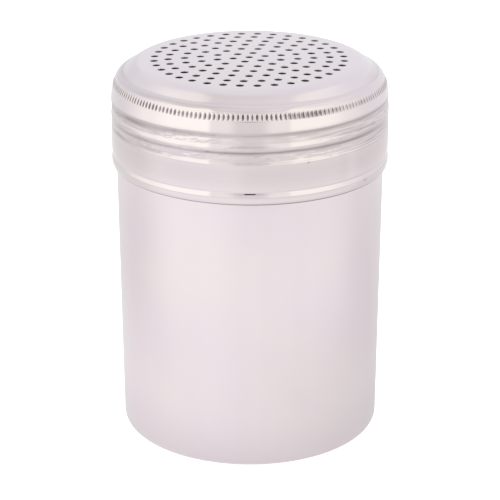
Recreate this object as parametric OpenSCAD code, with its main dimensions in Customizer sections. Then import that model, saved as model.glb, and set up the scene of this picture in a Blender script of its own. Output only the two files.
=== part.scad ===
// Screw-top shaker: a drawn metal cup, and a two-piece lid made of a knurled
// screw ring with a rolled thread and a domed top with a field of round holes.
// Millimetres, +Z up, origin on the axis in the plane the cup stands on.
// Angles around the axis are counted counter-clockwise from the front (-Y).

/* [Cup] */
// Outside diameter of the cup just above its bottom corner
base_d = 66.6; // [64:0.1:67.4]
// Outside diameter of the cup where the lid's lower edge meets it
body_d = 67.9; // [67.2:0.1:68]
// Radius of the bottom corner
corner_r = 2.4; // [1:0.1:5]
// Thickness of the sheet
sheet_t = 0.5; // [0.4:0.05:0.5]

/* [Lid] */
// Outside diameter of the plain lower band of the screw ring
lid_d = 70.4; // [70.1:0.1:70.4]
// Height from the base to the middle of the domed top
total_h = 97.9; // [97.7:0.1:98.6]
// Height of the screw ring's hemmed lower edge
hem_z = 70.8; // [70.4:0.1:71.2]
// Number of teeth around the knurled edge
knurl_n = 188; // [120:4:220]

/* [Thread] */
// Axial pitch of the rolled thread, right-handed
pitch = 4.2; // [3.8:0.1:4.6]
// Depth of the groove rolled into the screw ring
groove_d = 0.35; // [0.2:0.05:0.35]
// Height of one groove line at the front
groove_z = 82.9; // [82:0.1:84]

/* [Holes] */
// Diameter of each sprinkle hole
hole_d = 1.8; // [1:0.1:2.4]
// Radial distance between one ring of holes and the next
ring_step = 4.02; // [3.6:0.01:4.1]
// Number of rings of holes around the middle one
ring_n = 6; // [1:1:6]

/* [Hidden] */
$fn = 144;
facets = 60;        // flat facets around a rolled thread
steel = "silver";

R_body = body_d / 2;
R_base = base_d / 2;
R_lid = lid_d / 2;

// ---- helpers ---------------------------------------------------------------
function ease(a, b, x) = let (t = max(0, min(1, (x - a) / (b - a)))) t * t * (3 - 2 * t);
// points of an arc given by its centre, radius, first and last angle
function arc(cx, cy, r, a0, a1, n) =
    [for (i = [0:n]) let (a = a0 + (a1 - a0) * i / n) [cx + r * cos(a), cy + r * sin(a)]];
// 1 on a groove line of the helix, 0 half a pitch away; k sharpens it
function helix(th, z, k) = pow(0.5 + 0.5 * cos(360 * ((z - groove_z) / pitch - th / 360)), k);

// closed tube whose outside and inside radii are functions of angle and height
module rolled_tube(outer, inner, z0, z1, rows) {
    n = facets;
    function pt(r, th, z) = [r * cos(th - 90), r * sin(th - 90), z];
    zs = [for (j = [0:rows]) z0 + (z1 - z0) * j / rows];
    out = [for (z = zs) for (i = [0:n - 1]) let (th = 360 * i / n) pt(outer(th, z), th, z)];
    inn = [for (z = zs) for (i = [0:n - 1]) let (th = 360 * i / n) pt(inner(th, z), th, z)];
    m = n * (rows + 1);
    faces = [
        for (j = [0:rows - 1]) for (i = [0:n - 1]) let (a = j * n + i, b = j * n + (i + 1) % n)
            each [[a, a + n, b + n], [a, b + n, b], [m + a, m + b, m + b + n], [m + a, m + b + n, m + a + n]],
        for (i = [0:n - 1]) let (a = i, b = (i + 1) % n, t = rows * n)
            each [[a, b, m + b], [a, m + b, m + a], [t + a, m + t + a, m + t + b], [t + a, m + t + b, t + b]]
    ];
    polyhedron(points = concat(out, inn), faces = faces, convexity = 6);
}

// ---- cup -------------------------------------------------------------------
neck_z0 = 78.0;     // the rolled thread of the neck starts here
neck_z1 = 89.6;     // and ends here
rim_z = 93.1;       // top of the mouth's rim
rim_r = 33.1;       // outside radius of the rim
neck_r = R_body - 0.1;
crest = 0.35;       // how far the neck's thread stands proud

function neck_plain(z) = neck_r - (neck_r - 33.45) * ease(88.7, 89.5, z);
function neck_env(z) = ease(78.2, 79.6, z) * (1 - ease(88.3, 89.4, z));
function neck_out(th, z) = neck_plain(z) + crest * (1 - helix(th, z, 1)) * neck_env(z);

module cup_wall_2d() {
    t = sheet_t;
    outer = concat(
        [[0, 0]],
        arc(R_base - corner_r, corner_r, corner_r, -90, 0, 8),
        [[R_body, hem_z - 0.1], [neck_r, hem_z + 1.2], [neck_r, neck_z0 + 0.15]]);
    inner = concat(
        [[neck_r - t, neck_z0 + 0.15], [neck_r - t, hem_z + 1.2], [R_body - t, hem_z - 0.1]],
        arc(R_base - corner_r, corner_r, corner_r - t, 0, -90, 8),
        [[0, t]]);
    polygon(concat(outer, inner));
}

module cup_rim_2d() {
    t = sheet_t;
    polygon(concat(
        [[33.45, neck_z1 - 0.15], [33.45, 90.4], [rim_r, 91.4], [rim_r, rim_z - 0.55]],
        arc(rim_r - 0.55, rim_z - 0.55, 0.55, 0, 180, 10),
        [[rim_r - 1.1, rim_z - 0.9], [rim_r - t, rim_z - 0.9], [rim_r - t, 91.5],
         [33.45 - t, 90.5], [33.45 - t, neck_z1 - 0.15]]));
}

module cup() {
    color(steel) {
        rotate_extrude() cup_wall_2d();
        // the ends of the rolled zone sit 0.05 inside the plain walls that hold them
        rolled_tube(
            function (th, z) neck_out(th, z) - 0.05 * (1 - ease(78.0, 78.4, z)) - 0.05 * ease(89.2, 89.6, z),
            function (th, z) neck_out(th, z) - sheet_t + 0.05 * (1 - ease(78.0, 78.4, z)) + 0.05 * ease(89.2, 89.6, z),
            neck_z0, neck_z1, 24);
        rotate_extrude() cup_rim_2d();
    }
}

// ---- perforated top --------------------------------------------------------
crown_a = 1.72;     // slope of the crown at the last ring of holes, degrees
knee_a = [1.9, 11, 25, 36]; // slopes at the ends of the three arcs of the knee around the crown
cone_a = 37;        // slope at the lower end of the nearly straight shoulder
edge_a = 75;        // slope where the shoulder turns down to the flange
crown_r = 24 / sin(crown_a);
knee_r = [8, 4.5, 7.3];
cone_r = 130;
edge_r = 0.55;
seam_r = 32.05;     // where the shoulder disappears into the screw ring
flange_r = 32.7;    // outside radius of the flange that the ring's lip holds down
flange_z = 93.2;    // underside of the flange, just above the cup's rim

// outside of the dome, moved inwards along its normal by d
function dome(d) = let (
    dir = function (a) [sin(a), cos(a)],
    c1 = [0, total_h - crown_r],
    c2 = c1 + (crown_r - knee_r[0]) * dir(knee_a[0]),
    c3 = c2 + (knee_r[0] - knee_r[1]) * dir(knee_a[1]),
    c4 = c3 + (knee_r[1] - knee_r[2]) * dir(knee_a[2]),
    c5 = c4 + (knee_r[2] - cone_r) * dir(knee_a[3]),
    c6 = c5 + (cone_r - edge_r) * dir(cone_a))
    concat(
        // one facet of the crown for each ring of holes, so that no hole crosses an edge
        [for (r = concat([0], [for (k = [0:5]) (k + 0.5) * ring_step])) c1 + (crown_r - d) * dir(asin(r / crown_r))],
        [for (i = [0:2]) c2 + (knee_r[0] - d) * dir(knee_a[0] + (knee_a[1] - knee_a[0]) * i / 2)],
        [for (i = [1:3]) c3 + (knee_r[1] - d) * dir(knee_a[1] + (knee_a[2] - knee_a[1]) * i / 3)],
        [for (i = [1:3]) c4 + (knee_r[2] - d) * dir(knee_a[2] + (knee_a[3] - knee_a[2]) * i / 3)],
        [c5 + (cone_r - d) * dir(cone_a)],
        [for (i = [1:3]) c6 + (edge_r - d) * dir(cone_a + (edge_a - cone_a) * i / 3)]);

module perforated_top() {
    t = sheet_t;
    out = dome(0);
    inn = dome(t);
    m = len(inn) - 1;
    color(steel) difference() {
        rotate_extrude() polygon(concat(
            out,
            [[seam_r + 0.08, flange_z + t + 0.05], [flange_r, flange_z + t], [flange_r, flange_z], [seam_r + 0.08 - t, flange_z]],
            [for (i = [m:-1:0]) inn[i]]));
        for (k = [0:ring_n]) let (n = max(1, 6 * k), first = [0, 14.5, -15.7, -5.5, -0.5, -9.9, -5.4][k])
            for (i = [0:n - 1]) rotate(first + 360 * i / n)
                translate([k * ring_step, 0, total_h - 2]) cylinder(d = hole_d, h = 4, $fn = 24);
    }
}

// ---- screw ring ------------------------------------------------------------
ring_z0 = 80.2;     // the rolled thread of the ring starts here
ring_z1 = 90.2;     // and ends here
upper_r = 34.42;    // smooth band between the thread and the knurl
knurl_z0 = 91.9;    // knurled edge, from here
knurl_z1 = 93.1;    // to here
lip_z = 94.66;      // top of the rolled-in lip around the dome
lip_r = seam_r + 0.14;

function ring_plain(z) = R_lid - 0.05 - 0.17 * ease(80, 88.5, z) - (R_lid - 0.22 - upper_r) * ease(88.6, 90.2, z);
function ring_env(z) = ease(80.6, 82.4, z) * (1 - ease(88.7, 89.7, z));
function ring_out(th, z) = ring_plain(z) - groove_d * helix(th, z, 2) * ring_env(z);

// the lower edge is folded back on itself, and swells into a low bead
module ring_skirt_2d() {
    t = sheet_t;
    bead_r = R_lid + 0.05;
    polygon(concat(
        [[R_lid - 0.65, hem_z + 2.3], [R_lid - 0.65, hem_z + 0.15]],
        [for (i = [0:7]) let (a = -67 + 67 * i / 7) [bead_r - 1.3 + 1.3 * cos(a), hem_z + 1.6 + 1.7 * sin(a)]],
        [[bead_r - 0.01, hem_z + 2.1], [bead_r - 0.06, hem_z + 2.45], [R_lid - 0.13, hem_z + 2.85],
         [R_lid - 0.18, hem_z + 3.2], [R_lid - 0.06, hem_z + 3.5], [R_lid, hem_z + 4.0],
         [R_lid - 0.05, hem_z + 8], [R_lid - 0.05, ring_z0 + 0.15],
         [R_lid - 0.05 - t, ring_z0 + 0.15], [R_lid - 0.05 - t, hem_z + 2.6]]));
}

module ring_top_2d() {
    t = sheet_t;
    polygon(concat(
        [[upper_r - t, ring_z1 - 0.15], [upper_r, ring_z1 - 0.15], [upper_r, knurl_z0 - 0.15], [33.8, knurl_z0 + 0.1]],
        arc(33.0, knurl_z1, 0.85, 0, 66, 5),
        [[33.17, 94.06], [lip_r + 0.5, lip_z - 0.26], [lip_r + 0.22, lip_z - 0.09], [lip_r + 0.1, lip_z - 0.03],
         [lip_r + 0.03, lip_z - 0.1], [lip_r, lip_z - 0.22], [lip_r + 0.03, lip_z - 0.35], [lip_r + 0.2, lip_z - 0.52],
         [32.95, 93.78], [33.28, 93.42], [33.42, 93.0], [33.42, knurl_z0 - 0.1]]));
}

module knurl() {
    n = knurl_n;
    translate([0, 0, knurl_z0]) difference() {
        linear_extrude(knurl_z1 - knurl_z0)
            polygon([for (i = [0:2 * n - 1]) let (a = 180 * i / n, r = i % 2 == 0 ? 34.2 : 33.9) r * [cos(a), sin(a)]]);
        translate([0, 0, -1]) cylinder(r = 33.6, h = 5);
    }
}

module screw_ring() {
    color(steel) {
        rotate_extrude() ring_skirt_2d();
        rolled_tube(
            function (th, z) ring_out(th, z) - 0.05 * (1 - ease(80.2, 80.6, z)) - 0.05 * ease(89.8, 90.2, z),
            function (th, z) ring_out(th, z) - sheet_t + 0.05 * (1 - ease(80.2, 80.6, z)) + 0.05 * ease(89.8, 90.2, z),
            ring_z0, ring_z1, 22);
        rotate_extrude() ring_top_2d();
        knurl();
    }
}

cup();
perforated_top();
screw_ring();
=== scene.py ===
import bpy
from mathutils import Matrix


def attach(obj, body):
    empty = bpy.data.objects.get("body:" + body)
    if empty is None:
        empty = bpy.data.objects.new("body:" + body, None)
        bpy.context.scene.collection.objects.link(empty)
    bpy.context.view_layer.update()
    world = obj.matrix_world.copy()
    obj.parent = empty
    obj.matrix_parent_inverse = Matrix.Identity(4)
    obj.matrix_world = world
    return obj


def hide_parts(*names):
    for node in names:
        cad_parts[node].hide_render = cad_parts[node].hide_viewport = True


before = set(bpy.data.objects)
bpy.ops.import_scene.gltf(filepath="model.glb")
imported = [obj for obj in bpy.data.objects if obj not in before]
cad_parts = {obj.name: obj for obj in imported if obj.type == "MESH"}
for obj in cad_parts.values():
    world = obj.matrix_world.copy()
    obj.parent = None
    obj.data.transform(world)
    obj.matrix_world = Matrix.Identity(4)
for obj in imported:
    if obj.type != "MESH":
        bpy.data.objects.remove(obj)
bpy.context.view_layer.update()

# Screw-top shaker in drawn steel. Shapes are worked out here in millimetres and written in metres.
# Angles run counter-clockwise from the front (-Y), seen from above.
import math

import bpy
import numpy as np
from mathutils import Euler, Vector
from mathutils.geometry import delaunay_2d_cdt

TAU = 2 * math.pi
MM = 0.001
FINE = 2256      # columns around the knurl: 12 for each of the 188 teeth
TWO = 752        # columns around the rolled thread
MID = 376        # columns around everything else
SHEET = 0.5      # thickness of the sheet


# ---- numbers ---------------------------------------------------------------------------------
def ease(a, b, x):
    t = np.clip((np.asarray(x, float) - a) / (b - a), 0, 1)
    return t * t * (3 - 2 * t)


def table(x, pairs):
    xs, ys = zip(*pairs)
    return np.interp(x, xs, ys)


def curve_through(points, step):
    """Catmull-Rom points through a 2-D polyline, about step apart."""
    p = np.array(points, float)
    p = np.vstack([2 * p[0] - p[1], p, 2 * p[-1] - p[-2]])
    out = []
    for i in range(1, len(p) - 2):
        a, b, c, d = p[i - 1], p[i], p[i + 1], p[i + 2]
        n = max(1, int(math.ceil(np.linalg.norm(c - b) / step)))
        for k in range(n):
            t = k / n
            out.append(0.5 * (2 * b + (c - a) * t + (2 * a - 5 * b + 4 * c - d) * t * t + (3 * b - a - 3 * c + d) * t ** 3))
    out.append(p[-2])
    return [tuple(q) for q in out]


def walk_up(r, pairs, step):
    """Profile walked upwards from radius r through pairs of (height, degrees that the wall faces upwards)."""
    zs, tilts = zip(*pairs)
    z, out = zs[0], [(r, zs[0])]
    while z < zs[-1] - 1e-6:
        h = min(step, zs[-1] - z)
        r -= h * math.tan(math.radians(np.interp(z + h / 2, zs, tilts)))
        z += h
        out.append((r, z))
    return out


def walk_out(r, z, pairs, step):
    """Profile walked outwards from (r, z) through pairs of (radius, degrees that the wall falls outwards)."""
    rs, slopes = zip(*pairs)
    out = [(r, z)]
    while r < rs[-1] - 1e-6:
        h = min(step, rs[-1] - r)
        z -= h * math.tan(math.radians(np.interp(r + h / 2, rs, slopes)))
        r += h
        out.append((r, z))
    return out


class Lattice:
    """Smooth random field over angle and height, periodic in angle, about -1 to 1."""

    def __init__(self, seed, cells, z0, z1, dz):
        self.n, self.z0, self.dz = cells, z0, dz
        rows = int((z1 - z0) / dz) + 4
        self.g = np.random.RandomState(seed).uniform(-1, 1, (rows, cells))

    def __call__(self, th, z):
        u = (np.asarray(th, float) % 360) / 360 * self.n
        v = np.clip((np.asarray(z, float) - self.z0) / self.dz, 0, self.g.shape[0] - 2.001) + 0 * u
        i, j = np.floor(u).astype(int), np.floor(v).astype(int)
        a, b = u - i, v - j
        a, b = a * a * (3 - 2 * a), b * b * (3 - 2 * b)
        i0, i1 = i % self.n, (i + 1) % self.n
        return ((self.g[j, i0] * (1 - a) + self.g[j, i1] * a) * (1 - b)
                + (self.g[j + 1, i0] * (1 - a) + self.g[j + 1, i1] * a) * b)


# ---- meshes made of closed rows --------------------------------------------------------------
class Shell:
    def __init__(self):
        self.v, self.f, self.cavity, self.rows, self.total = [], [], [], [], 0

    def points(self, xyz, cavity=0.0):
        xyz = np.asarray(xyz, float).reshape(-1, 3)
        start = self.total
        self.v.append(xyz)
        self.cavity.append(np.broadcast_to(np.asarray(cavity, float), (len(xyz),)))
        self.total += len(xyz)
        return np.arange(start, self.total)

    def row(self, n, radius, z, cavity=0.0):
        """One closed row of n columns; radius, z and cavity may be functions of the angle in degrees."""
        th = np.arange(n) * 360.0 / n
        r = radius(th) if callable(radius) else np.full(n, float(radius))
        h = z(th) if callable(z) else np.full(n, float(z))
        c = cavity(th) if callable(cavity) else cavity
        a = np.radians(th)
        ids = self.points(np.stack([r * np.sin(a), -r * np.cos(a), h], 1), c)
        self.rows.append(ids)
        return ids

    def join(self, a, b):
        """Faces between two rows; the rows have as many columns, or one has a whole multiple."""
        na, nb = len(a), len(b)
        if na == nb:
            a2, b2 = np.roll(a, -1), np.roll(b, -1)
            self.f += np.stack([a, a2, b2, b], 1).tolist()
            return
        if na > nb:
            m = na // nb
            for i in range(nb):
                p, q = b[i], b[(i + 1) % nb]
                s = [a[(i * m + k) % na] for k in range(m + 1)]
                for k in range(m // 2):
                    self.f.append([s[k], s[k + 1], p])
                self.f.append([s[m // 2], q, p])
                for k in range(m // 2, m):
                    self.f.append([s[k], s[k + 1], q])
        else:
            m = nb // na
            for i in range(na):
                p, q = a[i], a[(i + 1) % na]
                s = [b[(i * m + k) % nb] for k in range(m + 1)]
                for k in range(m // 2):
                    self.f.append([p, s[k + 1], s[k]])
                self.f.append([p, q, s[m // 2]])
                for k in range(m // 2, m):
                    self.f.append([q, s[k + 1], s[k]])

    def skin(self, first=0, closed=False):
        for a, b in zip(self.rows[first:], self.rows[first + 1:]):
            self.join(a, b)
        if closed:
            self.join(self.rows[-1], self.rows[first])

    def cap(self, ids, z, upwards):
        """Closes a row with one point on the axis."""
        c = int(self.points([[0, 0, z]])[0])
        for i in range(len(ids)):
            p, q = int(ids[i]), int(ids[(i + 1) % len(ids)])
            self.f.append([p, q, c] if upwards else [q, p, c])

    def build(self, name, sharp=50):
        co = np.vstack(self.v) * MM
        mesh = bpy.data.meshes.new(name)
        mesh.from_pydata(co.tolist(), [], [list(map(int, f)) for f in self.f])
        mesh.validate(verbose=False)
        mesh.update()
        attr = mesh.attributes.new("cavity", "FLOAT", "POINT")
        attr.data.foreach_set("value", np.concatenate(self.cavity).astype(np.float32))
        mesh.polygons.foreach_set("use_smooth", [True] * len(mesh.polygons))
        mesh.set_sharp_from_angle(angle=math.radians(sharp))
        ob = bpy.data.objects.new(name, mesh)
        bpy.context.scene.collection.objects.link(ob)
        return ob


# ---- the rolled thread -----------------------------------------------------------------------
PITCH, GROOVE_Z = 4.2, 82.9

# The lid's groove climbs unevenly. Its angle g runs along it, 0 at the front of the lower turn and 360 at the front of
# the upper one. LINE is the height of the sharp edge above the groove, the thread's dark line.
LINE = [(-540, 78.8), (-440, 80.7), (-420, 80.3), (-405, 79.95), (-380, 79.9), (-360, 79.75), (-340, 79.95), (-320, 80.1),
        (-300, 80.05), (-270, 80.3), (-240, 80.8), (-200, 81.6), (-150, 82.5), (-120, 82.95), (-75, 83.62), (-60, 83.72),
        (-40, 83.80), (-20, 83.93), (0, 84.02), (20, 84.17), (40, 84.30), (60, 84.47), (75, 84.6), (120, 85.1), (180, 85.9),
        (240, 86.75), (285, 87.3), (300, 87.55), (320, 87.85), (330, 88.05), (340, 88.24), (360, 88.28), (380, 88.56), (400, 88.76),
        (420, 88.96), (440, 89.05), (480, 89.25), (560, 89.9), (900, 92)]
DEPTH = [(-215, 0), (-150, .04), (-95, .11), (-60, .14), (0, .15), (60, .15), (200, .14), (290, .145), (330, .145), (360, .13),
         (420, .12), (450, .09), (490, .04), (560, 0)]
LEDGE = [(-60, .95), (0, .85), (60, .95), (200, 1.3), (285, 1.9), (325, 1.8), (350, 1.35), (370, 1.2), (420, 1.15)]
# how dark the wall is along each line: painted shade in the groove under the sharp edge, with some dirt
GROOVE_SHADE_AND_DIRT = [(-215, 0), (-150, .12), (-95, .32), (-60, .44), (-25, .42), (-12, .60), (0, .72), (25, .70), (42, .60), (50, .46), (60, .50), (120, .42),
        (240, .40), (300, .46), (330, .46), (345, .38), (360, .40), (372, .47), (390, .52), (420, .46), (450, .3), (490, .12), (560, 0)]


def turns(th):
    t = (np.asarray(th, float) + 180) % 360 - 180
    return [t + 360 * n for n in (-1, 0, 1, 2)]


def thread_dip(th, z):
    """How far the lid's wall is pressed in: a rounded bead above each line, a step, a shallow floor, a sharper step under the next."""
    dip = 0
    for g in turns(th):
        low, high, ledge, deep = table(g - 360, LINE) + 1.55, table(g, LINE), table(g, LEDGE), table(g, DEPTH)
        dip = dip + deep * ease(low - .48, low + .48, z) * (1 - ease(high - ledge / 2, high + ledge / 2, z))
        dip = dip - .14 * deep * np.exp(-((z - high - 1.12) / .36) ** 2)
    return dip


# painted shade with some dirt along the thread's lines
def groove_shade_and_dirt(th, z):
    dirt = 0
    for g in turns(th):
        dirt = dirt + table(g, GROOVE_SHADE_AND_DIRT) * np.exp(-((z - table(g, LINE)) / (table(g, LEDGE) * .45)) ** 2)
    return dirt


ENVELOPE = walk_up(35.085, [(79.4, .5), (81, .4), (85, .3), (87, .5), (88.3, 1.1), (88.85, 4.0), (89.08, 7.5), (89.3, 9.3),
                            (90, 9.0), (91.8, 8.8)], .02)


def lid_envelope(z):
    return float(np.interp(z, [q[1] for q in ENVELOPE], [q[0] for q in ENVELOPE]))


chatter = Lattice(11, 230, 70, 95, .32)
mottle = Lattice(12, 70, 70, 95, .9)
wobble = Lattice(13, 17, 70, 95, 5.0)
patches = Lattice(14, 21, 70, 95, 1.3)
rings = Lattice(15, 26, 70, 95, .24)
specks = Lattice(16, 150, 70, 95, .3)
bruise = Lattice(17, 44, 70, 95, .8)


def lid_marks(th, z):
    """Tool marks of the thread rolls, and the slight waves in the rest of the sheet."""
    zone = ease(80.6, 81.5, z) * (1 - ease(88.3, 89.1, z))
    zh = z - .45 * np.sin(np.radians(th))
    rough = ease(-.3, .5, patches(th, zh))
    t = (th + 180) % 360 - 180
    scored = ease(22, 42, t) * (1 - ease(95, 120, t)) + .6 * ease(-40, -58, t) * (1 - ease(-95, -120, t))
    marks = .0068 * mottle(th, zh) + .0048 * rough * chatter(th, zh) + (.0014 + .0038 * scored) * rings(th, zh)
    return zone * marks + .007 * wobble(th, z) + .0012 * (1 - zone) * mottle(th, z)


def lid_dirt_and_shade(th, z):
    """Greyness of the wall: painted shade and dirt along the lines of the thread, bruised and scratched metal between
    them, a darker band at the front right, a scuff and a nick.
    """
    zone = ease(80.7, 81.6, z) * (1 - ease(88.2, 88.9, z))
    zh = z - .45 * np.sin(np.radians(th))
    t = (th + 180) % 360 - 180
    lines = .30 * ease(.0, .8, rings(th, zh)) * (ease(22, 42, t) * (1 - ease(95, 120, t)) + .6 * ease(-40, -58, t) * (1 - ease(-95, -120, t)))
    spots = lines + .10 * ease(-.2, .9, bruise(th, zh)) + .16 * ease(.1, .9, specks(th, zh)) * ease(-.4, .5, patches(th, zh))
    # a darker band at the front right, around two heights of the thread
    front_right_darker = .30 * ease(4, 18, t) * (1 - ease(38, 52, t)) * (np.exp(-((z - 87.3) / .78) ** 2) + .5 * np.exp(-((z - 83.45) / .3) ** 2))
    scuff = .36 * ease(-82, -64, t) * (1 - ease(-46, -28, t)) * np.exp(-((z - 81.75) / .5) ** 2)
    nick = .55 * np.exp(-((t - 23.5) / .45) ** 2 - ((z - 80.9) / .22) ** 2)
    return np.clip(groove_shade_and_dirt(th, z) + zone * spots + front_right_darker * (.7 + .3 * mottle(th, zh)) + scuff + nick, 0, 1)


# ---- profile of the shoulder -----------------------------------------------------------------
TOTAL = 97.9
# crown, knee, nearly straight cone, then a soft valley where the ring's lip begins
DOME = walk_out(0, TOTAL, [(0, 0), (24, 1.72), (26.4, 1.9), (27.0, 5.3), (27.8, 11.5), (28.8, 25), (29.5, 33), (30.1, 37.5),
                           (31.0, 39.5), (31.35, 38), (31.7, 31), (32.0, 24), (32.12, 22)], .02)
SEAM_R, SEAM_Z = DOME[-1]
LIP = walk_out(32.18, SEAM_Z - .02, [(32.18, 17), (32.4, 18), (32.7, 27), (33.0, 38), (33.25, 45.5), (33.45, 51), (33.62, 57),
                                     (33.72, 61)], .02)


def lip_at(r):
    return float(np.interp(r, [q[0] for q in LIP], [q[1] for q in LIP]))


def dome_z(r):
    """Height of the dome at radius r."""
    return np.interp(np.asarray(r, float), [q[0] for q in DOME], [q[1] for q in DOME])


# ---- screw ring ------------------------------------------------------------------------------
TEETH = 188
tooth_rng = np.random.RandomState(5)
tooth_gain = tooth_rng.uniform(.86, 1.12, TEETH)
tooth_shift = tooth_rng.uniform(-.05, .05, TEETH)


def strike(th, half, phase=0.0):
    """V-shaped gaps between the teeth, 1 at the bottom of a gap."""
    u = th / 360 * TEETH + phase
    k = np.floor(u).astype(int) % TEETH
    p = np.abs(u - np.floor(u) - .5 - tooth_shift[k])
    t = np.clip(1 - p / half, 0, 1)
    return tooth_gain[k] * (1 - (1 - t) ** 1.5)


def knurl_notch(th, z):
    t = (th + 180) % 360 - 180
    z = z - .13 * np.exp(-(t / 15) ** 2) + .07 * np.exp(-((t + 27) / 9) ** 2)
    half = table(z, [(91.75, .27), (91.95, .33), (92.4, .35), (92.8, .32), (93.15, .26), (93.4, .16)])
    deep = table(z, [(91.70, 0), (91.82, .13), (91.98, .26), (92.3, .33), (92.65, .33), (92.95, .27), (93.2, .16), (93.33, .05), (93.4, 0)])
    second = .66 * ease(9, 18, t) * (1 - ease(56, 72, t))
    gain = 1 - .08 * ease(10, 18, t) * (1 - ease(24, 32, t)) - .36 * ease(24, 38, t) * (1 - ease(62, 76, t)) - .34 * ease(-14, -24, t) * (1 - ease(-34, -48, t))
    a = strike(th, half)
    b = strike(th, half * .75, .47) * second
    return deep * gain * np.maximum(a, b)


# painted shade: the knurl's gaps darker still at the left and right sides
def knurl_side_shade(th, z):
    t = (th + 180) % 360 - 180
    return .30 * (ease(62, 80, t) + ease(-54, -74, t)) * ease(91.8, 92.3, z) * ease(93.4, 93.0, z)


def knurl_base(z):
    return table(z, [(91.6, lid_envelope(91.6)), (91.72, lid_envelope(91.72) - .015), (91.9, 34.45), (92.1, 34.35), (92.35, 34.24),
                     (92.7, 34.10), (93.0, 33.965), (93.2, 33.865), (93.4, 33.765), (93.48, 33.723)])


def screw_ring():
    s = Shell()
    curl = curve_through([
        (34.33, 71.2), (34.295, 70.95), (34.33, 70.79), (34.45, 70.75), (34.61, 70.83), (34.77, 71.0), (34.92, 71.27),
        (35.045, 71.65), (35.10, 72.0), (35.125, 72.4)], .1)
    flank = walk_up(35.125, [(72.4, -2.5), (72.55, -.5), (72.7, .8), (72.9, 2.8), (73.1, 6), (73.3, 8.3), (73.45, 10), (73.54, 14), (73.61, 18.9),
                             (73.87, 20.0), (73.94, 14), (74.0, 0), (74.06, -13), (74.12, -21), (74.36, -21), (74.46, -9), (74.56, -2),
                             (75.2, -.8), (76.0, -.3), (76.9, .4)], .04)[1:]
    band = walk_up(flank[-1][0], [(76.9, .4), (79.4, .5)], .4)[1:]

    # painted shade along the hem's lower edge, where it meets the cup, stronger on the right, and a small spot on the
    # hem
    def hem_line(th, z):
        right = ease(-25, 12, (th + 180) % 360 - 180)
        low = 71.12
        t = (th + 180) % 360 - 180
        return (.46 + .12 * right) * ease(low + .16, low, z) + .5 * np.exp(-((t - 53.5) / .8) ** 2 - ((z - 72.6) / .25) ** 2)
    def lean(th, z):
        return z - .13 * np.sin(np.radians(th)) * ease(72.3, 71.2, z)
    for r, z in curl + flank + band:
        s.row(MID, lambda th, r=r, z=z: r + lid_marks(th, z) * ease(73.5, 76.5, z), lambda th, z=z: lean(th, z), lambda th, z=z: hem_line(th, z))
    base = band[-1][0] - lid_envelope(79.4)
    for z in np.arange(79.5, 91.65, .08):
        s.row(TWO, lambda th, z=z: lid_envelope(z) + base * ease(82, 79.4, z) - thread_dip(th, z) + lid_marks(th, z), z,
              lambda th, z=z: lid_dirt_and_shade(th, z))
    # the knurl's gaps are painted darker the deeper they are: painted shade in the gaps
    for z in np.arange(91.7, 93.49, .065):
        s.row(FINE, lambda th, z=z: knurl_base(z) - knurl_notch(th, z) + .007 * wobble(th, 91.6), z,
              lambda th, z=z: np.clip((knurl_notch(th, z) - .035) / .19 + knurl_side_shade(th, z), 0, 1))
    lip = LIP[:0:-4] + [LIP[0]] + [(32.168, SEAM_Z - .035), (32.165, SEAM_Z - .08)] + curve_through([
        (32.165, 94.52), (32.17, 94.38), (32.24, 94.25), (32.42, 94.11), (32.95, 93.77), (33.2, 93.5), (33.33, 93.22), (33.4, 92.9),
        (33.44, 92.3), (33.50, 91.95), (33.72, 91.72), (33.98, 91.55)], .15)

    # painted shade on the lip: darker on the left and front left, and a little darker next to the seam with the dome
    def lip_shade(th, r):
        t = (th + 180) % 360 - 180
        left = 1 - ease(-16, 4, t) * (1 - ease(150, 175, t))
        ahead = ease(-62, -44, t) * (1 - ease(-26, -14, t))
        edge = 33.4 - .5 * ease(-26, -14, t)
        return .13 * left * ease(edge + .1, edge - .1, r) + .13 * ahead * ease(33.52, 33.36, r) * ease(32.5, 32.9, r) + (.02 + .02 * left) * ease(32.45, 32.2, r)
    for r, z in lip:
        s.row(MID, r, z, (lambda th, r=r: lip_shade(th, r)) if z > lip_at(r) - .1 else 0.0)
    for z in np.arange(91.4, 79.6, -.2):
        s.row(MID, lambda th, z=z: lid_envelope(z) - SHEET - thread_dip(th, z), z)
    for r, z in curve_through([(34.465, 79.4), (34.48, 77), (34.49, 75.2), (34.48, 74.2), (34.45, 73.75), (34.39, 73.62),
                               (34.33, 73.5), (34.315, 73.2), (34.32, 72.5), (34.325, 71.6)], .3):
        s.row(MID, r, z)
    s.skin(closed=True)
    return s.build("ring_shell")


# ---- cup -------------------------------------------------------------------------------------
dents = Lattice(21, 13, 0, 72, 16)
grain = Lattice(22, 60, 0, 72, 9)


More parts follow.
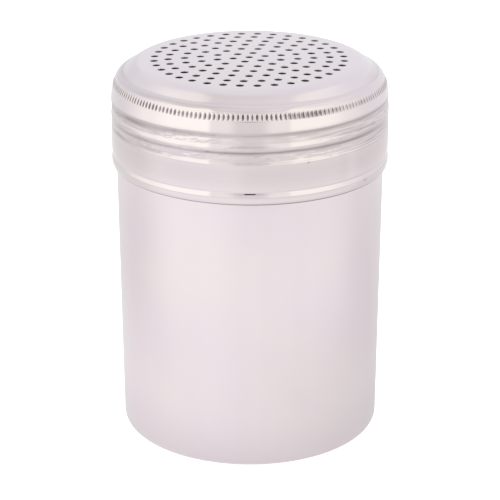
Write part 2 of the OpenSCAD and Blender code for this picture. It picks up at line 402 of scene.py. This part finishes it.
def cup():
    s = Shell()
    r_base, r_top, corner = 33.3, 33.95, 2.4

    def wall(z):
        return r_base + (r_top - r_base) * np.clip((z - corner) / 68.3, 0, 1)

    def soft(z):
        return lambda th: wall(z) - .012 + .010 * dents(th, z) + .0006 * grain(th, z)

    # underside: a ring to stand on, and a shallow raised middle
    under = [(3, .45), (12, .45), (20, .44), (25.5, .42), (27.2, .34), (28.2, .20), (29.0, .07), (29.8, .01), (30.4, .0), (30.9, .0)]
    centre = s.row(94, *under[0])
    s.cap(centre, .45, upwards=False)
    for r, z in curve_through(under[1:], .8):
        s.row(MID if r > 13 else 94, r, max(z, 0.0))
    for a in np.arange(-84, 1, 6):
        s.row(MID, r_base - corner + corner * math.cos(math.radians(a)) - .012, corner + corner * math.sin(math.radians(a)))
    for z in np.arange(3.4, 70.6, 1.4):
        s.row(MID, soft(z), z)
    neck = 33.845

    def plain(z):
        return neck - .40 * ease(88.7, 89.5, z)

    def thread(z):
        env = ease(78.2, 79.6, z) * (1 - ease(88.3, 89.4, z))

        def f(th):
            t = (th + 180) % 360 - 180
            return plain(z) + .33 * env * (1 - (.5 + .5 * np.cos(TAU * ((z - GROOVE_Z) / PITCH - t / 360))))
        return f
    for r, z in [(33.93, 70.9), (33.895, 71.5), (33.86, 72.0), (33.845, 73.5), (33.845, 75.5), (33.845, 77.4)]:
        s.row(MID, r, z)
    for z in np.arange(77.9, 90.0, .2):
        s.row(MID, thread(z), z)
    rim = curve_through([(33.44, 90.2), (33.40, 90.6), (33.24, 91.1), (33.12, 91.5), (33.09, 92.0), (33.09, 92.5), (33.02, 92.83),
                         (32.84, 93.02), (32.60, 93.08), (32.34, 93.05), (32.12, 92.90), (32.02, 92.65), (32.04, 92.40),
                         (32.16, 92.24), (32.36, 92.18), (32.54, 92.12), (32.60, 91.95), (32.62, 91.6), (32.72, 91.1),
                         (32.88, 90.7), (32.94, 90.3)], .16)
    for r, z in rim:
        s.row(MID, r, z)
    for z in np.arange(90.0, 77.7, -.25):
        s.row(MID, lambda th, z=z: thread(z)(th) - SHEET, z)
    for z in [77.2, 75, 73, 71.8]:
        s.row(MID, neck - SHEET, z)
    for z in [70.7, 66, 60, 52, 44, 36, 28, 20, 12, 6, 3]:
        s.row(MID, wall(z) - SHEET, z)
    for a in np.arange(0, -91, -10):
        s.row(MID, r_base - corner + (corner - SHEET) * math.cos(math.radians(a)), corner + (corner - SHEET) * math.sin(math.radians(a)))
    for r, z in [(30.0, .51), (29.0, .56), (28.2, .70), (27.2, .85), (25.5, .93), (20, .95), (14, .95)]:
        s.row(MID, r, z)
    last = s.row(94, 3, .95)
    s.skin()
    s.cap(last, .95, upwards=True)
    return s.build("cup_shell")


# ---- perforated top --------------------------------------------------------------------------
HOLES_AT = [(0, 0), (4.07, 15.3), (8.2, -16.0), (12.25, -5.0), (16.15, 0.0), (20.28, -9.5), (23.85, -5.2)]   # radius, first angle


ZONE = 26.2
HOLE_R = .94


def holes():
    rng = np.random.RandomState(3)
    out = []
    for k, (r, first) in enumerate(HOLES_AT):
        n = max(1, 6 * k)
        for i in range(n):
            a = math.radians(first + 360 * i / n)
            out.append((r * math.cos(a) - .2 + rng.uniform(-.08, .08), r * math.sin(a) + .05 + rng.uniform(-.08, .08),
                        HOLE_R * rng.uniform(.96, 1.02), rng.uniform(.6, 1.4)))
    return out


def perforated_top():
    s = Shell()
    # underside of the flange, over it, up the wall and in over the shoulder
    start = [(31.70, 93.24), (32.0, 93.205), (32.5, 93.2), (32.61, 93.22), (32.66, 93.32), (32.66, 93.54), (32.60, 93.64),
             (32.45, 93.68), (32.32, 93.71), (32.22, 93.79), (32.165, 93.93), (32.15, 94.2), (32.148, SEAM_Z - .10)]
    # these rows are painted darker: painted shade under the flange and in the seam
    for r, z in curve_through(start, .1):
        s.row(MID, r, z, .6)
    s.row(MID, 32.146, SEAM_Z - .045, .4)
    waves = Lattice(31, 11, 0, 40, 6)

    def out_row(r):
        z = float(dome_z(r))
        bump = .010 * ease(29.2, 30.0, r) * (1 - ease(31.0, 31.7, r))

        # painted shade on the shoulder: darker at the left and right sides and in the valley by the seam, more on the
        # left
        def shoulder_shade(th):
            t = (th + 180) % 360 - 180
            left = 1 - ease(-22, 0, t) * (1 - ease(150, 175, t))
            shoulder_side_shade = .19 * ease(60, 78, t) * (1 - ease(100, 135, t)) * ease(29.9, 31.2, r) * (1 - .6 * ease(31.8, 32.0, r))
            shoulder_side_shade = shoulder_side_shade + .11 * ease(-62, -78, t) * (1 - ease(-100, -135, t)) * ease(28.0, 28.8, r)
            return shoulder_side_shade + (.09 + .10 * left) * ease(31.4, 31.75, r) * (1 - (.9 - .4 * left) * ease(31.9, 32.1, r))
        s.row(MID, r, lambda th: z + bump * waves(th, r), shoulder_shade)
    for r in np.concatenate([[32.135, 32.12], np.arange(32.04, 30.8, -.08), np.arange(30.75, 29.0, -.14), np.arange(28.95, 26.6, -.10)]):
        out_row(min(float(r), 32.12) if r < 32.13 else float(r))
    for r in (26.51, 26.36):
        s.row(MID, r, float(dome_z(r)))
    top_edge = s.row(MID, ZONE, float(dome_z(ZONE)))
    s.skin()

    # flat field of holes, triangulated once and used for both faces of the sheet
    hs = holes()
    pts, edges, hole_of = [], [], []
    a = np.arange(MID) * TAU / MID
    for x, y in zip(ZONE * np.sin(a), -ZONE * np.cos(a)):
        pts.append((x, y))
        hole_of.append((0.0, -1))
    edges += [(i, (i + 1) % MID) for i in range(MID)]
    SEG = 28
    turn = np.arange(SEG) * TAU / SEG
    levels = [(1.26, 0.0), (1.10, 0.0), (1.045, -.008), (1.0, -.027), (.947, -.071), (.912, -.132), (.90, -.20)]   # for a .9 hole
    rims = []
    for hi, (hx, hy, hr, hd) in enumerate(hs):
        for li, (lr, lz) in enumerate(levels):
            rr = hr + (lr - .90)
            base = len(pts)
            for t in turn:
                pts.append((hx + rr * math.cos(t), hy + rr * math.sin(t)))
                hole_of.append((lz, li))
            edges += [(base + i, base + (i + 1) % SEG) for i in range(SEG)]
            if li == len(levels) - 1:
                rims.append(list(range(base, base + SEG)))
    hp = np.array([(h[0], h[1]) for h in hs])
    rng = np.random.RandomState(9)
    step = .62
    for j in range(-50, 51):
        for i in range(-50, 51):
            x = (i + .5 * (j % 2)) * step + rng.uniform(-.04, .04)
            y = j * step * .866 + rng.uniform(-.04, .04)
            if math.hypot(x, y) < ZONE - .35 and np.min(np.hypot(hp[:, 0] - x, hp[:, 1] - y)) > 1.52:
                pts.append((x, y))
                hole_of.append((0.0, -1))
    vs, _, tris, orig, _, _ = delaunay_2d_cdt([Vector(p) for p in pts], edges, [], 0, 1e-6)
    back = [o[0] if o else None for o in orig]
    assert all(b is not None for b in back)
    keep = []
    P = np.array(pts)
    for t in tris:
        q = [back[i] for i in t]
        m = P[q].mean(0)
        d = np.hypot(hp[:, 0] - m[0], hp[:, 1] - m[1])
        k = int(np.argmin(d))
        if d[k] < hs[k][2] * .985:
            continue
        (x0, y0), (x1, y1), (x2, y2) = P[q]
        if (x1 - x0) * (y2 - y0) - (x2 - x0) * (y1 - y0) < 0:
            q = q[::-1]
        keep.append(q)
    rad = np.hypot(P[:, 0], P[:, 1])
    lift = np.array([h[0] for h in hole_of])
    # punching drew the sheet down a little around each hole
    near = np.min(np.hypot(hp[None, :, 0] - P[:, None, 0], hp[None, :, 1] - P[:, None, 1]), 1)
    dip = -.028 * np.exp(-((near - HOLE_R) / .42) ** 2) * (1 - ease(24.8, 26.0, rad))
    flat = Lattice(33, 9, 0, 40, 7)
    ang = np.degrees(np.arctan2(P[:, 0], -P[:, 1]))
    sway = .006 * flat(ang, rad) * ease(1.5, 5, rad) * (1 - ease(24.8, 26.0, rad))
    upper = dome_z(rad) + lift + dip + sway
    lower = dome_z(rad) - SHEET + dip + sway
    # the lower rings of each hole's wall are painted dark: painted shade inside the holes
    inside = np.array([1.0 if h[1] >= 5 else (.4 if h[1] == 4 else 0.0) for h in hole_of])
    up = s.points(np.stack([P[:, 0], P[:, 1], upper], 1), inside)
    low = s.points(np.stack([P[:, 0], P[:, 1], lower], 1), .0)
    for q in keep:
        s.f.append([up[i] for i in q])
        s.f.append([low[i] for i in q[::-1]])
    for rim in rims:
        for i in range(SEG):
            p, q = rim[i], rim[(i + 1) % SEG]
            s.f.append([up[p], up[q], low[q], low[p]])
    # underside of the shoulder and the inside of the wall
    first = len(s.rows)
    s.row(MID, ZONE, float(dome_z(ZONE) - SHEET))
    for r in (26.5, 27.2, 27.8, 28.3, 28.8, 29.3, 29.9, 30.6, 31.2):
        a = math.atan2(float(dome_z(r - .05) - dome_z(r + .05)), .1)
        s.row(MID, r - SHEET * math.sin(a), float(dome_z(r)) - SHEET * math.cos(a))
    for r, z in [(31.45, 94.58), (31.58, 94.35), (31.63, 94.0), (31.64, 93.6), (31.66, 93.33)]:
        s.row(MID, r, z)
    s.skin(first)
    s.join(s.rows[-1], s.rows[0])
    ob = s.build("top_shell")
    import bmesh
    bm = bmesh.new()
    bm.from_mesh(ob.data)
    bmesh.ops.remove_doubles(bm, verts=bm.verts, dist=1e-6)
    bm.to_mesh(ob.data)
    bm.free()
    ob.data.set_sharp_from_angle(angle=math.radians(50))
    return ob


# ---- materials -------------------------------------------------------------------------------
class Graph:
    def __init__(self, tree):
        self.t = tree

    def node(self, kind, **props):
        n = self.t.nodes.new(kind)
        for k, v in props.items():
            setattr(n, k, v)
        return n

    def link(self, a, b):
        self.t.links.new(a, b)

    def put(self, socket, value):
        if isinstance(value, bpy.types.NodeSocket):
            self.link(value, socket)
        else:
            socket.default_value = value

    def math(self, op, a, b=None, c=None, clamp=False):
        n = self.node("ShaderNodeMath", operation=op, use_clamp=clamp)
        for i, x in enumerate((a, b, c)):
            if x is not None:
                self.put(n.inputs[i], x)
        return n.outputs[0]

    def range(self, x, a, b, c, d, smooth=True):
        n = self.node("ShaderNodeMapRange", interpolation_type="SMOOTHSTEP" if smooth else "LINEAR")
        self.put(n.inputs["Value"], x)
        for name, v in zip(("From Min", "From Max", "To Min", "To Max"), (a, b, c, d)):
            n.inputs[name].default_value = v
        return n.outputs["Result"]

    def scaled(self, vector, scale):
        n = self.node("ShaderNodeMapping")
        self.link(vector, n.inputs["Vector"])
        n.inputs["Scale"].default_value = scale
        return n.outputs["Vector"]

    def noise(self, vector, scale, detail=2.0, rough=.5):
        n = self.node("ShaderNodeTexNoise")
        self.link(vector, n.inputs["Vector"])
        n.inputs["Scale"].default_value = scale
        n.inputs["Detail"].default_value = detail
        n.inputs["Roughness"].default_value = rough
        return n.outputs["Fac"]

    def mix(self, fac, a, b, kind="MIX"):
        n = self.node("ShaderNodeMix", data_type="RGBA", blend_type=kind)
        self.put(n.inputs[0], fac)
        self.put(n.inputs[6], a)
        self.put(n.inputs[7], b)
        return n.outputs[2]


def steel(name, base, dark, rough, spread, streak, bump, lines, detail=4):
    """Polished sheet steel. streak stretches the polishing marks: high around and low along gives upright lines."""
    m = bpy.data.materials.new(name)
    m.use_nodes = True
    g = Graph(m.node_tree)
    m.node_tree.nodes.clear()
    out = g.node("ShaderNodeOutputMaterial")
    b = g.node("ShaderNodeBsdfPrincipled")
    g.link(b.outputs[0], out.inputs["Surface"])
    b.inputs["Metallic"].default_value = 1.0
    obj = g.node("ShaderNodeTexCoord").outputs["Object"]
    cloud = g.noise(obj, 38, 3, .55)
    marks = g.noise(g.scaled(obj, streak), 1.0, detail, .6)
    fine = g.noise(g.scaled(obj, tuple(2.7 * x for x in streak)), 1.0, detail / 2, .5)
    cav = g.node("ShaderNodeAttribute", attribute_name="cavity").outputs["Fac"]
    cool, warm = (.992, .978, 1.002), (1.008, 1.010, .996)
    tint = g.mix(g.range(cloud, .3, .7, 0, 1), (*[c * k for c, k in zip(base, cool)], 1), (*[c * k for c, k in zip(base, warm)], 1))
    tint = g.mix(g.range(marks, .35, .75, 0, .22), tint, (*[c * .955 for c in base], 1))
    # the vertex value mixes towards the dark colour: mostly painted shade in gaps, recesses and seams, with some dirt
    # and marks
    tint = g.mix(g.math("MULTIPLY", cav, 1.0, clamp=True), tint, (*dark, 1))
    g.link(tint, b.inputs["Base Color"])
    r = g.math("ADD", g.range(cloud, .3, .7, rough - spread, rough + spread), g.range(marks, .3, .7, -spread * .6, spread * .6))
    r = g.math("ADD", r, g.math("MULTIPLY", cav, .12))
    g.link(r, b.inputs["Roughness"])
    mixed = g.math("ADD", g.math("MULTIPLY", marks, .65), g.math("MULTIPLY", fine, .35))
    n = g.node("ShaderNodeBump")
    n.inputs["Strength"].default_value = bump
    n.inputs["Distance"].default_value = lines
    g.link(mixed, n.inputs["Height"])
    g.link(n.outputs[0], b.inputs["Normal"])
    return m


# ---- the stage: floor, light, camera ---------------------------------------------------------
def disc(name, radius, z, n=96, rings=(0.0,)):
    me = bpy.data.meshes.new(name)
    v = [(radius * math.cos(TAU * i / n), radius * math.sin(TAU * i / n), z) for i in range(n)]
    me.from_pydata(v, [], [list(range(n))])
    ob = bpy.data.objects.new(name, me)
    bpy.context.scene.collection.objects.link(ob)
    return ob


def stage():
    # the floor that the camera sees
    floor = disc("floor", 6.0, 0.0)
    m = bpy.data.materials.new("floor_white")
    m.use_nodes = True
    g = Graph(m.node_tree)
    b = m.node_tree.nodes["Principled BSDF"]
    obj = g.node("ShaderNodeTexCoord").outputs["Object"]
    white = g.mix(g.noise(obj, 6, 2), (.90, .90, .90, 1), (.92, .92, .92, 1))
    g.link(white, b.inputs["Base Color"])
    g.link(white, b.inputs["Emission Color"])
    b.inputs["Emission Strength"].default_value = .62
    b.inputs["Roughness"].default_value = .9
    b.inputs["Specular IOR Level"].default_value = 0.0
    floor.data.materials.append(m)
    floor.visible_glossy = False

    # the same floor as the metal sees it, as a glowing disc: bright in front, softly darker under and behind the
    # object, where the darkening is painted shadow
    glow = disc("floor_glow", .31, 0.0002)
    m = bpy.data.materials.new("floor_seen_in_metal")
    m.use_nodes = True
    m.node_tree.nodes.clear()
    g = Graph(m.node_tree)
    out = g.node("ShaderNodeOutputMaterial")
    e = g.node("ShaderNodeEmission")
    pos = g.node("ShaderNodeTexCoord").outputs["Object"]
    sep = g.node("ShaderNodeSeparateXYZ")
    g.link(pos, sep.inputs[0])
    x, y = sep.outputs[0], sep.outputs[1]
    r = g.math("SQRT", g.math("ADD", g.math("MULTIPLY", x, x), g.math("MULTIPLY", y, y)))
    v = g.range(y, -.10, .06, 1.0, .85)
    v = g.math("ADD", v, g.range(x, -.14, .14, .03, -.015))
    v = g.math("ADD", v, g.math("MULTIPLY", g.range(x, -.05, .05, .05, -.06), g.range(r, .05, .15, 1, 0)))
    v = g.math("SUBTRACT", v, g.range(r, .030, .062, .11, 0))
    v = g.math("ADD", v, g.math("MULTIPLY", g.range(r, .09, .15, 0, .06), g.range(y, -.06, .02, 1, 0)))
    v = g.math("SUBTRACT", v, g.range(r, .20, .30, 0, .12))
    dull = g.math("MULTIPLY", g.range(x, -.06, .0, 0, 1), g.math("MULTIPLY", g.range(y, -.06, -.02, 1, 0), g.range(r, .15, .185, 0, 1)))
    v = g.math("SUBTRACT", v, g.math("MULTIPLY", dull, .045))
    beside = g.math("MULTIPLY", g.range(r, .186, .216, 0, 1), g.range(y, -.055, .005, 0, 1))
    v = g.math("ADD", v, g.math("MULTIPLY", beside, g.range(x, -.1, .1, .055, .095)))
    g.link(v, e.inputs["Strength"])
    g.link(e.outputs[0], out.inputs["Surface"])
    glow.data.materials.append(m)
    for flag in ("visible_camera", "visible_diffuse", "visible_shadow", "visible_transmission", "visible_volume_scatter"):
        setattr(glow, flag, False)

    # soft light from above
    for name, loc, size, power in (("key", (-.25, -.35, .9), .9, 5.0), ("fill", (.45, .25, .9), .9, 3.0)):
        d = bpy.data.lights.new(name, "AREA")
        d.shape = "DISK"
        d.size = size
        d.energy = power
        o = bpy.data.objects.new(name, d)
        o.location = loc
        o.rotation_euler = Vector(loc).to_track_quat("Z", "Y").to_euler()
        bpy.context.scene.collection.objects.link(o)
        o.visible_glossy = False
        o.visible_camera = False

    # a pale tent with two soft panels in front and two above
    w = bpy.data.worlds.new("tent")
    bpy.context.scene.world = w
    w.use_nodes = True
    w.node_tree.nodes.clear()
    g = Graph(w.node_tree)
    out = g.node("ShaderNodeOutputWorld")
    bg = g.node("ShaderNodeBackground")
    g.link(bg.outputs[0], out.inputs["Surface"])
    sep = g.node("ShaderNodeSeparateXYZ")
    g.link(g.node("ShaderNodeTexCoord").outputs["Generated"], sep.inputs[0])
    x, y, z = sep.outputs
    az = g.math("MULTIPLY", g.math("ARCTAN2", x, g.math("MULTIPLY", y, -1.0)), 180 / math.pi)
    el = g.math("MULTIPLY", g.math("ARCSINE", z), 180 / math.pi)
    front = g.range(el, 42, 58, 1, 0)
    bent = g.math("MULTIPLY", az, g.range(el, 28, 56, 1, .76))
    soft_l, hard_l, out_l = g.range(bent, -19, -8, 1, 0), g.range(bent, -34.5, -30.5, 1, 0), g.range(az, -128, -62, 0, 1)
    soft_r, hard_r, out_r = g.range(bent, 8, 19, 0, 1), g.range(bent, 30.5, 34.5, 0, 1), g.range(az, 60, 112, 1, 0)
    left = g.math("ADD", g.math("MULTIPLY", soft_l, .19), g.math("MULTIPLY", hard_l, .26))
    right = g.math("ADD", g.math("MULTIPLY", soft_r, .19), g.math("MULTIPLY", hard_r, .17))
    wl, wr = g.math("MULTIPLY", front, out_l), g.math("MULTIPLY", front, out_r)
    zc = g.math("MAXIMUM", z, .05)
    p, q = g.math("DIVIDE", x, zc), g.math("DIVIDE", y, zc)
    ahead = g.math("MULTIPLY", g.range(az, -150, -60, 0, 1), g.range(az, 60, 150, 1, 0))
    low = g.math("ADD", g.math("ADD", .85, g.math("MULTIPLY", ahead, .05)), g.range(y, -.12, .12, 0, .08))
    over = g.range(q, -.12, .36, 0, 1)
    top = g.math("ADD", g.math("MULTIPLY", over, .115),
                 g.math("MULTIPLY", g.math("SUBTRACT", 1.0, over), g.range(p, .10, .24, .815, .893)))
    top = g.math("ADD", top, g.math("MULTIPLY", over, .815))
    high = g.range(el, 44, 62, 0, 1)
    v = g.math("ADD", g.math("MULTIPLY", low, g.math("SUBTRACT", 1.0, high)), g.math("MULTIPLY", top, high))
    v = g.math("ADD", v, g.math("ADD", g.math("MULTIPLY", left, wl), g.math("MULTIPLY", right, wr)))
    # darker around the camera
    near = g.math("MULTIPLY", g.range(g.math("ABSOLUTE", az), 4, 26, 1, 0), g.range(g.math("ABSOLUTE", g.math("SUBTRACT", el, 16)), 3, 14, 1, 0))
    v = g.math("SUBTRACT", v, g.math("MULTIPLY", near, .16))
    # the panels above
    up = g.range(el, 34, 46, 0, 1)
    lean = g.math("MULTIPLY", g.math("MINIMUM", q, 0.0), .23)
    tl = g.math("MULTIPLY", g.range(g.math("SUBTRACT", p, lean), -.375, -.335, 1, 0), g.range(g.math("ADD", q, g.math("MULTIPLY", p, 1.55)), -.36, -.10, 1, 0))
    tl = g.math("MULTIPLY", g.math("MULTIPLY", tl, g.range(az, -145, -100, 0, 1)), g.range(q, -.40, .0, .39, .215))
    tr = g.math("MULTIPLY", g.range(g.math("ADD", p, lean), .34, .40, 0, 1), g.range(g.math("SUBTRACT", q, g.math("MULTIPLY", p, 2.0)), -.76, -.54, 1, 0))
    tr = g.math("MULTIPLY", g.math("MULTIPLY", tr, g.range(p, .52, .95, 1, .25)), g.range(q, -.40, .0, .33, .17))
    v = g.math("ADD", v, g.math("MULTIPLY", g.math("MULTIPLY", tl, up), g.math("SUBTRACT", 1.0, wl)))
    v = g.math("ADD", v, g.math("MULTIPLY", g.math("MULTIPLY", tr, up), g.math("SUBTRACT", 1.0, wr)))
    gap = g.math("MULTIPLY", g.math("MULTIPLY", g.range(p, -.36, -.32, 0, 1), g.range(p, -.26, -.14, 1, 0)),
                 g.math("MULTIPLY", g.range(q, .0, .12, 0, 1), g.range(q, .34, .5, 1, 0)))
    v = g.math("SUBTRACT", v, g.math("MULTIPLY", gap, .07))
    v = g.math("SUBTRACT", v, g.math("MULTIPLY", g.math("MULTIPLY", g.range(y, .3, .7, 0, 1), g.range(p, -1.3, -.5, 1, 0)), .05))
    strip = g.math("MULTIPLY", g.math("MULTIPLY", g.range(q, -.11, -.02, 1, 0), g.range(q, -.55, -.34, 0, 1)), g.range(g.math("ABSOLUTE", p), .26, .42, 1, 0))
    v = g.math("ADD", v, g.math("MULTIPLY", strip, .11))
    seen = g.node("ShaderNodeLightPath").outputs["Is Camera Ray"]
    mixed = g.node("ShaderNodeMix", data_type="FLOAT")
    g.link(seen, mixed.inputs[0])
    g.link(v, mixed.inputs[2])
    mixed.inputs[3].default_value = 1.0
    g.link(mixed.outputs[0], bg.inputs["Strength"])
    panels = g.math("ADD", g.math("MULTIPLY", g.math("ADD", g.math("MULTIPLY", left, wl), g.math("MULTIPLY", right, wr)), 2.6),
                    g.math("MULTIPLY", g.math("MULTIPLY", g.math("ADD", tl, tr), up), 4.5), clamp=True)
    tent = g.mix(g.range(y, .05, .45, 0, 1), (1, 1, 1, 1), (.995, 1.02, 1.045, 1))
    g.link(g.mix(panels, tent, (.98, 1.0, .945, 1)), bg.inputs["Color"])

    # the dark front of the camera, which the metal faintly mirrors
    card = bpy.data.meshes.new("camera_front")
    card.from_pydata([(-.038, -.025, 0), (.038, -.025, 0), (.038, .025, 0), (-.038, .025, 0)], [], [[0, 1, 2, 3]])
    o = bpy.data.objects.new("camera_front", card)
    bpy.context.scene.collection.objects.link(o)
    o.location = (0, -.4935, .2366)
    o.rotation_euler = Euler((math.radians(68.89), 0, 0))
    m = bpy.data.materials.new("camera_dark")
    m.use_nodes = True
    m.node_tree.nodes["Principled BSDF"].inputs["Base Color"].default_value = (.01, .01, .01, 1)
    m.node_tree.nodes["Principled BSDF"].inputs["Roughness"].default_value = .9
    card.materials.append(m)
    for flag in ("visible_camera", "visible_diffuse", "visible_shadow"):
        setattr(o, flag, False)

    cam = bpy.data.cameras.new("view")
    cam.sensor_width = 36.0
    cam.lens = 146.8
    cam.clip_start, cam.clip_end = .01, 50
    c = bpy.data.objects.new("view", cam)
    c.location = (0, -.4935, .2366)
    c.rotation_euler = Euler((math.radians(68.89), 0, 0))
    bpy.context.scene.collection.objects.link(c)
    bpy.context.scene.camera = c
    bpy.context.scene.view_settings.view_transform = "Standard"


stage()

CUP = (.808, .733, .760)
RING = (.767, .690, .704)
TOP = (.790, .713, .738)

# each steel's second colour is the dark one that the vertex value mixes in: painted shade, with some dirt
cup_steel = steel("cup_steel_look", CUP, tuple(c * .6 for c in CUP), .238, .016, (170, 170, 1.6), .012, .00001, 1)
ring_steel = steel("ring_steel_look", RING, (.205, .175, .182), .075, .015, (30, 30, 1400), .03, .00002)
top_steel = steel("top_steel_look", TOP, (.40, .36, .37), .16, .02, (260, 260, 260), .04, .00002)

for make, node, body, slot, mat in ((cup, "cup", "cup", "cup_steel", cup_steel),
                                    (screw_ring, "screw_ring", "ring", "ring_steel", ring_steel),
                                    (perforated_top, "perforated_top", "top", "top_steel", top_steel)):
    ob = make()
    ob.data.materials.append(mat)
    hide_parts(node)
    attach(ob, body)
